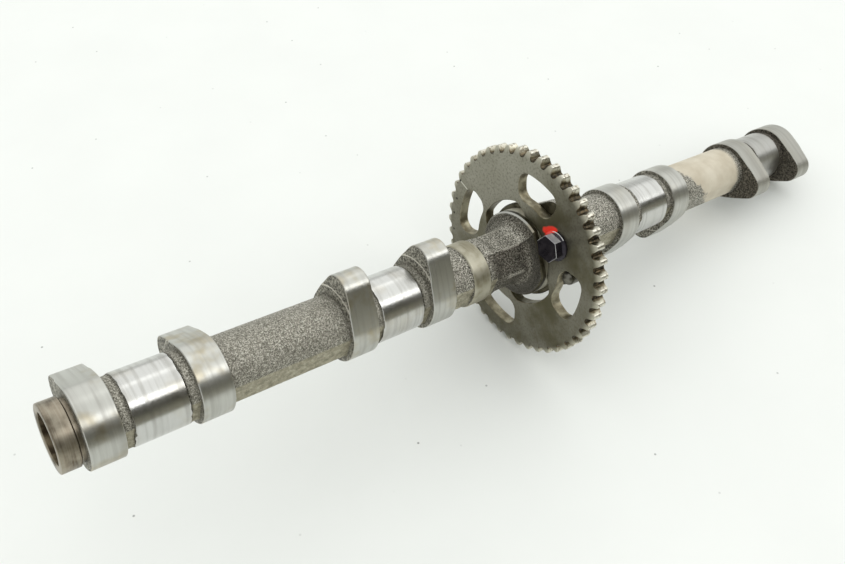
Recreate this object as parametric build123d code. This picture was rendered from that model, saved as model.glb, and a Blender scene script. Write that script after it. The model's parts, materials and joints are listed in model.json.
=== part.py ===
"""Camshaft of a four-cylinder motorcycle engine: a hollow casting with eight cams, and the
chain sprocket that two flange bolts hold against a flange in its middle.

Lengths are in mm and angles in degrees.  Everything is drawn on the shaft's own axis: X runs
along it towards the open end, X = 0 is the sprocket's front face, and angles are counted in
the YZ plane from +Y towards +Z.  The last step lays the finished shaft down as it rests on a
bench: on the sprocket and on the last cam, with the open end in the air.
"""
import os
from math import atan2, cos, degrees, hypot, pi, radians, sin, tan

from build123d import *

# ---- shaft: bearings, cast stretches and their spacing ----
journal_r = 12.5            # ground bearing journal
journal_len = 18.55
journal_chamfer = 0.4
neck_len = 3.2              # cast neck between a journal and a cam
neck_drop = 0.4             # how far a neck lies below the journals
tube_len = 45.95            # cast stretch between two cylinders
tube_drop = 0.65
drive_bay = 96.4            # between the two inner cams, room for the sprocket
drive_middle = -3.65        # middle of that bay
parting_depth = 1.3         # trimmed mould parting line, as flats below the journals
parting_angle = -48.0       # where the first of the two flats faces

# ---- cams ----
base_step = 1.5             # base circle above the journal
cam_lift = 8.25
cam_nose_r = 6.9
cam_flank_r = 100.0
cam_w = 11.2
nose_angle = 143.0          # where the first cylinder's two cams point
firing_angle = -90.0        # turn of the camshaft from one firing to the next
firing_order = [1, 2, 4, 3]  # cylinders, counted from the open end

# ---- ends and bore ----
journal_wall = 3.8          # journal to bore
boss_wall = 2.8
boss_len = 7.8              # plain boss at the open end
boss_chamfer = 0.4
relief_depth = 0.9          # undercut between the boss and the first cam
relief_len = 1.5
stub_len = 2.5              # plain closed end past the last cam
stub_drop = 3.1
stub_chamfer = 0.5
end_wall = 9.0              # metal left at the closed end, measured on the axis
drill_angle = 118.0

# ---- drive: collar, hexagon, flare, register and flange ----
collar_at = 25.75
collar_w = 8.45
collar_rise = 0.4
hex_wall = 1.8              # hexagon flat to bore
hex_angle = 26.0            # where one of its corners points
hex_end = 17.35             # the flats run full to here
hex_runout = 4.0            # and fade out over this length
flare_len = 9.0             # bell between the hexagon and the register
register_rise = 5.8         # spigot that centres the sprocket, above the journals
register_proud = 1.85       # how far it stands out of the sprocket's front face
register_chamfer = 0.5
hub_flat_depth = 2.6        # flat on the bell beside each bolt head, for the socket
flange_t = 6.0
flange_rise = 1.9           # flange disc above the register
ear_margin = 4.4            # wide ear, past the centre of the first bolt
ear_half_w = 17.4
ear_corner_r = 8.0
small_ear_r = 7.8           # round ear about the second bolt

# ---- sprocket ----
chain_pitch = 6.35
teeth = 46
tip_drop = 0.8              # tooth tips below the pitch circle
tooth_depth = 2.9
tip_share = 0.28            # share of a pitch taken by a tooth's tip
root_share = 0.34           # and by the floor of a gap
tooth_bevel = 0.4           # broken corners at the tips and in the gaps
gap_angle = 3.71            # where the first tooth gap lies
web_t = 4.7
tooth_ring_t = 6.2          # the toothed rim is thicker, towards the back
tooth_ring_w = 3.3          # and its step lies this far inside the tooth roots
register_gap = 0.05         # sprocket's centre hole to the register
hole_relief = 4.4           # the hole's two wider stretches, above the register
relief_angle = 94.0         # where they lie, from the first and from the second bolt
relief_half_angle = 27.0
relief_end_angle = 19.0     # over which they come back to the hole
relief_corner_r = 4.0
hoop = 1.7                  # metal between those stretches and the windows
rim = 6.0                   # metal between the windows and the tooth roots
window_angle = 43.5         # window centres, on both sides of the bolts
window_half_angle = 19.5
window_corner_r = 5.0
pin_notch_r = 3.0           # round notch in the end of one window
pin_notch_in = 4.6          # its centre, from the window's inner edge
pin_notch_angle = 4.7       # and from the window's end

# ---- bolts ----
bolt_angle = 4.7            # where the first bolt lies; the second is opposite
head_clearance = 0.15       # bolt head's flange to the register
thread_r = 3.5
thread_gap = 0.05           # tapped hole to the bolt's shank
bolt_hole_gap = 0.3         # sprocket's hole to the shank
bolt_overrun = 1.5          # how far a shank comes out of the flange's back
head_flange_r = 6.3
head_flange_t = 1.2
head_af = 10.0
head_h = 5.2                # flange and hexagon together
head_bevel = 0.55           # height over which the hexagon's corners are bevelled
head_top_step = 0.25        # round top face inside the flats
head_hex_angle = 19.5       # where one of its corners points

# ---- attitude on the bench ----
gaps_to_bench = 29          # tooth gaps from the first one to the one that faces the bench

# ---- sizes that follow ----
base_r = journal_r + base_step
neck_r = journal_r - neck_drop
tube_r = journal_r - tube_drop
flat_r = journal_r - parting_depth
bore_r = journal_r - journal_wall
boss_r = bore_r + boss_wall
stub_r = journal_r - stub_drop
register_r = journal_r + register_rise
flange_r = register_r + flange_rise
bolt_circle_r = register_r + head_clearance + head_flange_r
flange_front = -web_t
flange_back = flange_front - flange_t

cylinder_len = journal_len + 2 * neck_len + 2 * cam_w
inner_cylinder = (drive_bay + cylinder_len) / 2
outer_cylinder = inner_cylinder + cylinder_len + tube_len
cylinders = [drive_middle + offset
             for offset in (outer_cylinder, inner_cylinder, -inner_cylinder, -outer_cylinder)]
open_end = cylinders[0] + cylinder_len / 2 + boss_len
last_cam_face = cylinders[3] - cylinder_len / 2
closed_end = last_cam_face - stub_len

tip_r = chain_pitch * teeth / (2 * pi) - tip_drop
root_r = tip_r - tooth_depth
relief_r = register_r + hole_relief
window_in_r = relief_r + hoop
window_out_r = root_r - rim
bench_angle = gap_angle + gaps_to_bench * 360 / teeth


def polar(r, angle):
    return (r * cos(radians(angle)), r * sin(radians(angle)))


def turned(points):
    """Solid of revolution about the shaft's axis, from its half section as (x, radius)."""
    return revolve(Plane.XZ * make_face(Polyline(*points, close=True)), Axis.X)


def drum(x_from, x_to, r, chamfer=0.0):
    """Turned cylinder between two stations, with equal chamfers on both ends."""
    if not chamfer:
        return turned([(x_from, 0), (x_from, r), (x_to, r), (x_to, 0)])
    return turned([(x_from, 0), (x_from, r - chamfer), (x_from + chamfer, r),
                   (x_to - chamfer, r), (x_to, r - chamfer), (x_to, 0)])


def slab(face, x_from, x_to):
    """Plate of the given outline, drawn in the YZ plane, between two stations."""
    return extrude(Plane.YZ.offset(x_from) * face, x_to - x_from)


def cast_bar(x_from, x_to, r):
    """Cast round stretch with the mould's parting line trimmed to two flats."""
    section = Circle(r) & (Rot(0, 0, parting_angle) * Rectangle(2 * flat_r, 3 * r))
    return slab(section, x_from, x_to)


def cam_outline():
    """Cam pointing along the first axis: base circle, nose and two convex flanks."""
    nose_at = base_r + cam_lift - cam_nose_r
    to_base = cam_flank_r - base_r
    to_nose = cam_flank_r - cam_nose_r
    cx = (to_base ** 2 - to_nose ** 2 + nose_at ** 2) / (2 * nose_at)
    cy = -(to_base ** 2 - cx ** 2) ** 0.5

    def on_flank(x, y):
        scale = cam_flank_r / hypot(x - cx, y - cy)
        return Vector(cx + (x - cx) * scale, cy + (y - cy) * scale)

    def mirrored(point):
        return Vector(point.X, -point.Y)

    start, end = on_flank(0, 0), on_flank(nose_at, 0)
    middle = on_flank((start.X + end.X) / 2, (start.Y + end.Y) / 2)
    edges = [ThreePointArc(start, middle, end),
             ThreePointArc(end, (nose_at + cam_nose_r, 0), mirrored(end)),
             ThreePointArc(mirrored(end), mirrored(middle), mirrored(start)),
             ThreePointArc(mirrored(start), (-base_r, 0), start)]
    return make_face(edges)


def cylinder_group(x_middle, nose):
    """Journal with a cam on each side, joined by cast necks."""
    half = journal_len / 2
    outline = Rot(0, 0, nose) * cam_outline()
    group = drum(x_middle - half, x_middle + half, journal_r, journal_chamfer)
    for side in (-1, 1):
        cam_middle = x_middle + side * (half + neck_len + cam_w / 2)
        neck = sorted((x_middle + side * half, cam_middle))
        group += slab(outline, cam_middle - cam_w / 2, cam_middle + cam_w / 2)
        group += cast_bar(*neck, neck_r)
    return group


def drive_section():
    """Collar, hexagon, flare, register and flange, which carry the sprocket."""
    collar_end = collar_at + collar_w
    collar_r = journal_r + collar_rise
    collar = drum(collar_at, collar_end, collar_r, journal_chamfer)

    flat = bore_r + hex_wall
    hexagon = slab(Rot(0, 0, hex_angle) * RegularPolygon(flat, 6, major_radius=False), 0, collar_at)
    bar = cast_bar(0, collar_at, neck_r)
    runout = turned([(0, 0), (0, flat), (hex_end, flat), (hex_end + hex_runout, neck_r),
                     (collar_at, neck_r), (collar_at, 0)])
    shank = bar & (hexagon + runout)

    front = register_proud
    shoulder = front + register_chamfer
    bell_end = shoulder + flare_len
    bell = TangentArc((bell_end, flat), (shoulder, register_r - register_chamfer), tangent=(-1, 0))
    outline = [bell, Polyline(bell @ 1, (front, register_r), (flange_back, register_r),
                              (flange_back, 0), (bell_end, 0), bell @ 0)]
    hub = revolve(Plane.XZ * make_face(outline), Axis.X)
    for side in (hex_angle - 30, hex_angle + 150):      # in line with two of the hexagon's flats
        beside = Pos(2 * register_r - hub_flat_depth, 0) * Rectangle(2 * register_r, 4 * register_r)
        hub -= slab(Rot(0, 0, side) * beside, 0, bell_end)
    return collar + shank + hub + flange()


def flange():
    """Disc with a wide ear for the first bolt and a round one for the second."""
    reach = bolt_circle_r + ear_margin
    wide = Pos(reach / 2, 0) * RectangleRounded(reach, 2 * ear_half_w, ear_corner_r)
    small = (Pos(-bolt_circle_r, 0) * Circle(small_ear_r)
             + Pos(-bolt_circle_r / 2, 0) * Rectangle(bolt_circle_r, 2 * small_ear_r))
    plate = Rot(0, 0, bolt_angle) * (Circle(flange_r) + wide + small)
    for angle in (bolt_angle, bolt_angle + 180):
        plate -= Pos(*polar(bolt_circle_r, angle)) * Circle(thread_r + thread_gap)
    return slab(plate, flange_back, flange_front)


def camshaft():
    """The whole casting: hollow from the open end, closed at the other."""
    shaft = drive_section()
    for turn, number in enumerate(firing_order):
        nose = nose_angle + firing_angle * turn
        shaft += cylinder_group(cylinders[number - 1], nose)

    half = cylinder_len / 2
    for near, far in ((cylinders[1] + half, cylinders[0] - half),
                      (cylinders[3] + half, cylinders[2] - half)):
        shaft += cast_bar(near, far, tube_r)
    shaft += cast_bar(collar_at + collar_w, cylinders[1] - half, neck_r)
    shaft += cast_bar(cylinders[2] + half, flange_back, neck_r)

    first_cam_face = cylinders[0] + half
    shaft += drum(first_cam_face, first_cam_face + relief_len, boss_r - relief_depth)
    shaft += drum(first_cam_face + relief_len, open_end, boss_r, boss_chamfer)
    shaft += turned([(last_cam_face, 0), (last_cam_face, stub_r),
                     (closed_end + stub_chamfer, stub_r), (closed_end, stub_r - stub_chamfer),
                     (closed_end, 0)])

    tip = closed_end + end_wall
    tip_len = bore_r / tan(radians(drill_angle / 2))
    return shaft - turned([(tip, 0), (tip + tip_len, bore_r), (open_end, bore_r), (open_end, 0)])


def tooth_outline():
    """Outline of all teeth: one gap with its two flanks, repeated round the wheel."""
    pitch = 360 / teeth
    tip_half = pitch * (1 - tip_share) / 2
    floor_half = pitch * root_share / 2
    tip_turn = degrees(tooth_bevel / tip_r)
    floor_turn = degrees(tooth_bevel / root_r)
    points = []
    for number in range(teeth):
        middle = gap_angle + pitch * number
        points += [polar(tip_r, middle - tip_half - tip_turn),
                   polar(tip_r - tooth_bevel, middle - tip_half),
                   polar(root_r + tooth_bevel, middle - floor_half),
                   polar(root_r, middle - floor_half + floor_turn),
                   polar(root_r, middle + floor_half - floor_turn),
                   polar(root_r + tooth_bevel, middle + floor_half),
                   polar(tip_r - tooth_bevel, middle + tip_half),
                   polar(tip_r, middle + tip_half + tip_turn)]
    return make_face(Polyline(*points, close=True))


def ring_sector(inner, outer, middle, half_angle, corner_r):
    """Piece of a ring about the wheel's centre, with rounded corners."""
    ends = [(inner, middle - half_angle), (outer, middle - half_angle),
            (outer, middle + half_angle), (inner, middle + half_angle)]
    a, b, c, d = [polar(*end) for end in ends]
    face = make_face([Line(a, b), ThreePointArc(b, polar(outer, middle), c), Line(c, d),
                      ThreePointArc(d, polar(inner, middle), a)])
    return fillet(face.vertices(), min(corner_r, 0.45 * (outer - inner)))


def hole_relief_cut(middle):
    """Wider stretch of the centre hole, with slanted ends that come back to the hole."""
    inner = register_r
    far_half = relief_half_angle + relief_end_angle
    a, b = polar(inner, middle - far_half), polar(relief_r, middle - relief_half_angle)
    c, d = polar(relief_r, middle + relief_half_angle), polar(inner, middle + far_half)
    face = make_face([Line((0, 0), a), Line(a, b), ThreePointArc(b, polar(relief_r, middle), c),
                      Line(c, d), Line(d, (0, 0))])
    corners = face.vertices().sort_by_distance((0, 0))[-2:]
    return fillet(corners, min(relief_corner_r, 0.8 * hole_relief))


def cam_sprocket():
    """Toothed wheel with a relieved centre hole, four windows, a pin notch and bolt holes."""
    wheel = tooth_outline() - Circle(register_r + register_gap)
    for bolt in (bolt_angle, bolt_angle + 180):
        wheel -= hole_relief_cut(bolt + relief_angle)
        wheel -= Pos(*polar(bolt_circle_r, bolt)) * Circle(thread_r + bolt_hole_gap)
        for side in (-window_angle, window_angle):
            wheel -= ring_sector(window_in_r, window_out_r, bolt + side,
                                 window_half_angle, window_corner_r)
    notch_angle = bolt_angle - window_angle + window_half_angle - pin_notch_angle
    wheel -= Pos(*polar(window_in_r + pin_notch_in, notch_angle)) * Circle(pin_notch_r)
    ring = wheel - Circle(root_r - tooth_ring_w)
    return slab(wheel, -web_t, 0) + slab(ring, -tooth_ring_t, -web_t)


def sprocket_bolt(angle):
    """Flange bolt: round flange, bevelled hexagon and plain shank, seated on the sprocket."""
    tip = flange_back - bolt_overrun
    stem = turned([(tip, 0), (tip, thread_r), (0, thread_r), (0, head_flange_r),
                   (head_flange_t, head_flange_r), (head_flange_t, 0)])
    corner_r = head_af / 2 / cos(radians(30))
    top_r = head_af / 2 - head_top_step
    hexagon = slab(Rot(0, 0, head_hex_angle) * RegularPolygon(corner_r, 6), head_flange_t, head_h)
    bevel = turned([(0, 0), (0, corner_r), (head_h - head_bevel, corner_r), (head_h, top_r),
                    (head_h, 0)])
    return Pos(0, *polar(bolt_circle_r, angle)) * (stem + (hexagon & bevel))


def laid_down(pieces):
    """All pieces turned until a tooth gap faces the bench, and tilted on to the last cam."""
    roll = 270 - bench_angle
    rolled = {name: Rot(roll, 0, 0) * piece for name, piece in pieces.items()}
    sprocket_reach = -rolled["cam_sprocket"].bounding_box().min.Z
    tilt = degrees(atan2(sprocket_reach - base_r, -tooth_ring_t - last_cam_face))
    tilted = {name: Rot(0, -tilt, 0) * piece for name, piece in rolled.items()}
    box = Compound(children=[piece.moved(Location()) for piece in tilted.values()]).bounding_box()
    middle = box.center()
    return {name: Pos(-middle.X, -middle.Y, -box.min.Z) * piece for name, piece in tilted.items()}


def build():
    pieces = {"camshaft": camshaft(), "cam_sprocket": cam_sprocket()}
    for number, angle in enumerate((bolt_angle, bolt_angle + 180), start=1):
        pieces[f"sprocket_bolt_{number}"] = sprocket_bolt(angle)
    return pieces


parts = laid_down(build())
os.makedirs("parts", exist_ok=True)
for name, piece in parts.items():
    export_step(piece, f"parts/{name}.step")
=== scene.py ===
"""A used camshaft of a four-cylinder motorcycle engine, in its finished surfaces.

The casting, the chain sprocket, its dowel and the two flange bolts are drawn in the shaft's
own coordinates, in mm: X along the shaft towards its open end, X = 0 at the sprocket's front
face, angles in the YZ plane from +Y towards +Z.  One matrix then lays every piece down
where the frame's journals say.
"""
import json
import math

import bpy
import numpy as np
from mathutils import Matrix, Vector, geometry, noise


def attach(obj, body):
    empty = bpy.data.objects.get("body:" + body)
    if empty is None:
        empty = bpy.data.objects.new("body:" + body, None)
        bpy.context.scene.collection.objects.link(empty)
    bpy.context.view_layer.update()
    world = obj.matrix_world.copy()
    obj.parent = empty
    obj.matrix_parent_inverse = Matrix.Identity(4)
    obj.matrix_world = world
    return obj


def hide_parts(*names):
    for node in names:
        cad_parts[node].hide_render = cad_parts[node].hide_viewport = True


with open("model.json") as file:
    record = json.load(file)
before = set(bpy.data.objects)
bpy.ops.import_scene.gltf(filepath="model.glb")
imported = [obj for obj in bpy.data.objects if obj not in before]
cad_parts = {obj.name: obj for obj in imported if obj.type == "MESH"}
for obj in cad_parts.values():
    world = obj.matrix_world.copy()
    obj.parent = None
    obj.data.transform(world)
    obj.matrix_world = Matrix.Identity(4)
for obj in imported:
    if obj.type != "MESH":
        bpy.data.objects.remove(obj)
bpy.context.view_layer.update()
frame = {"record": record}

MM = 0.001

# ---- shaft, in mm, as in the part's source ----
JOURNAL_R = 12.5
JOURNAL_LEN = 18.55
NECK_LEN = 3.2
NECK_R = 12.1
TUBE_LEN = 45.95
TUBE_R = 11.85
FLAT_R = 11.2               # trimmed parting line, two flats
EDGE = 0.4                  # bevel of the journals, the collar and the boss
PARTING_ANGLE = -48.0
DRIVE_MIDDLE = -3.65
DRIVE_BAY = 96.4
BASE_R = 14.0
CAM_LIFT = 8.25
CAM_NOSE_R = 6.9
CAM_FLANK_R = 100.0
CAM_W = 11.2
CAM_BEVEL = 0.25
CAM_FOOT_R = 12.6           # where a cam's rough side begins
LIP_R = 15.8                # past it, the cam's side stands back
LIP_BACK = 0.35
FILLET_H = 0.3              # at both ends of every cast stretch
CORNER_SHADE = 1.2           # how far the painted shade reaches out of a corner
FIRING_NOSES = (143.0, 53.0, -37.0, -127.0)
FIRING_ORDER = (1, 2, 4, 3)
BORE_R = 8.7
BOSS_R = 11.5
BOSS_LEN = 7.8
UNDERCUT_R = 10.6
UNDERCUT_LEN = 1.5
STUB_R = 9.4
STUB_LEN = 2.5
END_WALL = 9.0
DRILL_TIP_LEN = 5.23
COLLAR_AT = 25.75
COLLAR_W = 8.45
COLLAR_R = 12.9
HEX_FLAT_R = 10.5
HEX_ANGLE = 26.0
HEX_END = 17.35
HEX_RUNOUT = 4.0
FLARE_LENS = (3.6, 9.0, 5.0)   # cove on the flat that faces a bolt, and on the next two
HUB_FLAT_R = 15.7           # flats beside the bolt heads
REGISTER_R = 18.3
REGISTER_PROUD = 1.85
REGISTER_CHAMFER = 0.5
REGISTER_HIGHLIGHT_W = 0.15             # painted highlight on the register's edge
WEB_T = 4.7
FLANGE_T = 6.0
FLANGE_R = 20.2
FLANGE_BEVEL = 0.5
EAR_REACH = 29.15
EAR_HALF_W = 17.4
EAR_CORNER_R = 8.0
SMALL_EAR_R = 7.8

# ---- sprocket and bolts ----
TEETH = 46
TIP_R = 45.69
ROOT_R = 42.79
GAP_ANGLE = 3.71
TOOTH_RING_T = 6.2
TOOTH_RING_IN_R = 39.49
RELIEF_R = 22.7
RELIEF_ANGLE = 94.0
RELIEF_HALF_ANGLE = 27.0
RELIEF_END_ANGLE = 19.0
WINDOW_IN_R = 24.4
WINDOW_OUT_R = 36.79
WINDOW_ANGLE = 43.5
WINDOW_HALF_ANGLE = 19.5
WINDOW_CORNER_R = 5.0
NOTCH_R = 3.0
NOTCH_IN = 4.6
NOTCH_ANGLE = 4.7
TOOTH_BEVEL = 0.25
TOOTH_SLOPE = 0.9           # how far a tooth's face leans back from root to tip
HOLE_BEVEL = 0.2
BOLT_ANGLE = 4.7
BOLT_CIRCLE_R = 24.75
BOLT_HOLE_R = 3.8
BENCH_GAP = 29              # tooth gap that faces the bench
TIMING_ANGLE = 127.0        # scribed timing line, and from where to where it runs
TIMING_LINE = (37.0, 41.9)
PUNCH_DOTS = ((127.0, 42.4), (140.0, 40.7), (150.7, 41.0), (162.0, 41.0))   # angle, radius
DAUB_AT = (0.5, 23.4, 8.4)
DAUB_R = 2.0
DAUB_SQUEEZE = (1.3, 0.45, 1.0)     # makes the round daub flat and wide
DAUB_WANDER = 1.6           # swing of its outline

CYLINDER_LEN = JOURNAL_LEN + 2 * NECK_LEN + 2 * CAM_W
INNER = (DRIVE_BAY + CYLINDER_LEN) / 2
OUTER = INNER + CYLINDER_LEN + TUBE_LEN
CYLINDERS = [DRIVE_MIDDLE + x for x in (OUTER, INNER, -INNER, -OUTER)]
# the stretch between the sixth cam and the seventh
FAR_BAY = (CYLINDERS[2] - CYLINDER_LEN / 2, CYLINDERS[3] + CYLINDER_LEN / 2)
HUB_MIDDLE = (HEX_END - FLANGE_T) / 2
HUB_REACH = 16.0            # from there to both ends of the hub's stretch

# ---- attitude: the shaft's own coordinates to the bench ----
journal = next(m for m in frame["record"]["mounts"] if m["name"] == "journal_1")
along = Vector(journal["axis"])
roll = math.radians(270 - GAP_ANGLE - BENCH_GAP * 360 / TEETH)
SHAFT = (Matrix.Translation(Vector(journal["pos_m"]) - along * CYLINDERS[0] * MM)
         @ Matrix.Rotation(-math.asin(along.z), 4, "Y") @ Matrix.Rotation(roll, 4, "X"))


# ------------------------------------------------------------------ materials
# Sockets that share a name are given by number.  A MapRange takes 0 the value, 1 and 2 its
# limits, 3 and 4 what it gives there; a Mix takes 0 the share, then 2 and 3 numbers or 6
# and 7 colours.  A pattern's Scale is how many of its spots or lines go into 1 mm.
SMOOTH = {"interpolation_type": "SMOOTHSTEP"}
BLEND = {"out": 2, "data_type": "RGBA"}
TIMES = {"operation": "MULTIPLY"}
TIMES_PLUS = {"operation": "MULTIPLY_ADD"}
LARGER = {"operation": "MAXIMUM"}


def linear(code):
    """An sRGB hex colour as the linear values that a shader takes."""
    parts = [int(code[i:i + 2], 16) / 255 for i in (1, 3, 5)]
    return [c / 12.92 if c <= 0.04045 else ((c + 0.055) / 1.055) ** 2.4 for c in parts] + [1.0]


def add(tree, kind, inputs=None, out=0, stops=(), **settings):
    """Adds a node with its settings and links, and gives one of its outputs.  An input is
    a value, an sRGB hex colour or another node's output; stops are a ramp's colours."""
    node = tree.nodes.new("ShaderNode" + kind)
    for name, value in settings.items():
        setattr(node, name, value)
    for name, value in (inputs or {}).items():
        if isinstance(value, bpy.types.NodeSocket):
            tree.links.new(value, node.inputs[name])
        else:
            value = linear(value) if isinstance(value, str) else value
            node.inputs[name].default_value = value
    for k, (position, code) in enumerate(stops):
        elements = node.color_ramp.elements
        element = elements[k] if k < 2 else elements.new(position)
        element.position, element.color = position, linear(code)
    return node.outputs[out] if node.outputs else node


def surface(name):
    """A new material, its tree, and the point on the shaft in mm."""
    material = bpy.data.materials.new(name)
    material.use_nodes = True
    tree = material.node_tree
    tree.nodes.clear()
    point = add(tree, "Mapping", {"Vector": add(tree, "TexCoord", out="Object"),
                                  "Location": SHAFT.to_translation(),
                                  "Rotation": SHAFT.to_euler(), "Scale": (MM, MM, MM)},
                vector_type="TEXTURE")
    return material, tree, point


def round_lines(tree, point):
    """The point with its way round the shaft shrunk, so that patterns become lines."""
    return add(tree, "VectorMath", {0: point, 1: (1.0, 0.05, 0.05)}, **TIMES)


def from_axis(tree, point):
    """Distance from the shaft's axis, in mm."""
    across = add(tree, "VectorMath", {0: point, 1: (0.0, 1.0, 1.0)}, **TIMES)
    return add(tree, "VectorMath", {0: across}, out=1, operation="LENGTH")


def toward(tree, point, angle):
    """How far out from the shaft's axis, toward an angle round it, in mm."""
    turn = math.radians(angle)
    return add(tree, "VectorMath", {0: point, 1: (0.0, math.cos(turn), math.sin(turn))},
               out=1, operation="DOT_PRODUCT")


def apart(tree, value, place):
    """How far a value is from a place, to either side of it."""
    beyond = add(tree, "Math", {0: value, 1: place}, operation="SUBTRACT")
    return add(tree, "Math", {0: beyond}, operation="ABSOLUTE")


def within(tree, share, *limits):
    """The share where every value is at its inside limit, and 0 where one is at its outside
    limit.  Each of the limits is a value, its outside and its inside."""
    for value, outside, inside in limits:
        part = add(tree, "MapRange", {0: value, 1: outside, 2: inside}, **SMOOTH)
        share = add(tree, "Math", {0: share, 1: part}, **TIMES)
    return share


def mark(tree, point, centre, inner, outer):
    """1 nearer to the centre than inner, 0 beyond outer, all in mm."""
    away = add(tree, "VectorMath", {0: point, 1: centre}, out=1, operation="DISTANCE")
    return within(tree, 1.0, (away, outer, inner))


def red_paint(tree, point, colour):
    """A daub of red paint above the first bolt, over the given colour, and its mask."""
    # its outline wanders by 0.8 mm every 3 mm
    wobble = add(tree, "TexNoise", {"Vector": point, "Scale": 0.35, "Detail": 2.0}, out=1)
    moved = add(tree, "VectorMath", {0: wobble, 1: (0.0, DAUB_WANDER, DAUB_WANDER), 2: point},
                **TIMES_PLUS)
    squeezed = add(tree, "VectorMath", {0: moved, 1: DAUB_SQUEEZE}, **TIMES)
    middle = Vector(DAUB_AT) + Vector((0.0, DAUB_WANDER / 2, DAUB_WANDER / 2))
    daub = mark(tree, squeezed, middle * Vector(DAUB_SQUEEZE), DAUB_R - 0.3, DAUB_R + 0.3)
    return add(tree, "Mix", {0: daub, 6: colour, 7: "#E0301F"}, **BLEND), daub


def ground_iron(name, clean, rough, tan):
    """Chilled cast iron, ground: near-white metal with fine lines round the shaft, so a
    light shows as a long bright stripe that is blurred only along the shaft.  rough is
    the finish, clean its colour, and tan how far the cam followers' heat has tinted it."""
    material, tree, point = surface(name)
    x = add(tree, "SeparateXYZ", {0: point})
    # grinding lines are 0.02 mm apart; drawn 0.5 mm apart, and in streaks 1.7 mm wide,
    # so that they show
    lines = round_lines(tree, point)
    scratch = add(tree, "TexNoise", {"Vector": lines, "Scale": 2.0, "Detail": 4.0,
                                     "Roughness": 0.7})
    streak = add(tree, "TexNoise", {"Vector": lines, "Scale": 0.6, "Detail": 4.0})
    # the heat's tint lies in clouds as wide as a cam, 12 mm, and more near the open end
    cloud = add(tree, "TexNoise", {"Vector": point, "Scale": 0.08, "Detail": 3.0,
                                   "Roughness": 0.6})
    near = add(tree, "MapRange", {0: x, 1: -60.0, 2: 20.0, 3: 0.2 * tan, 4: tan}, **SMOOTH)
    tinted = within(tree, near, (cloud, 0.45, 0.68))
    base = add(tree, "Mix", {0: tinted, 6: clean, 7: "#A39779"}, **BLEND)
    lined = within(tree, 0.5, (streak, 0.4, 0.7))
    colour = add(tree, "Mix", {0: lined, 6: base, 7: "#9C9A94"}, **BLEND)
    finish = add(tree, "MapRange", {0: streak, 1: 0.3, 2: 0.7, 3: rough, 4: rough + 0.07},
                 **SMOOTH)
    # an oil film dulls the far end
    filmed = within(tree, 0.2, (x, -100.0, -150.0))
    colour = add(tree, "Mix", {0: filmed, 6: colour, 7: "#6F6857"}, **BLEND)
    finish = add(tree, "Math", {0: filmed, 1: 0.6, 2: finish}, **TIMES_PLUS)
    shader = add(tree, "BsdfPrincipled",
                 {"Base Color": colour, "Metallic": 1.0, "Roughness": finish,
                  "Normal": add(tree, "Bump", {"Height": scratch, "Distance": 0.003 * MM})})
    add(tree, "OutputMaterial", {"Surface": shader})
    return material


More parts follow.
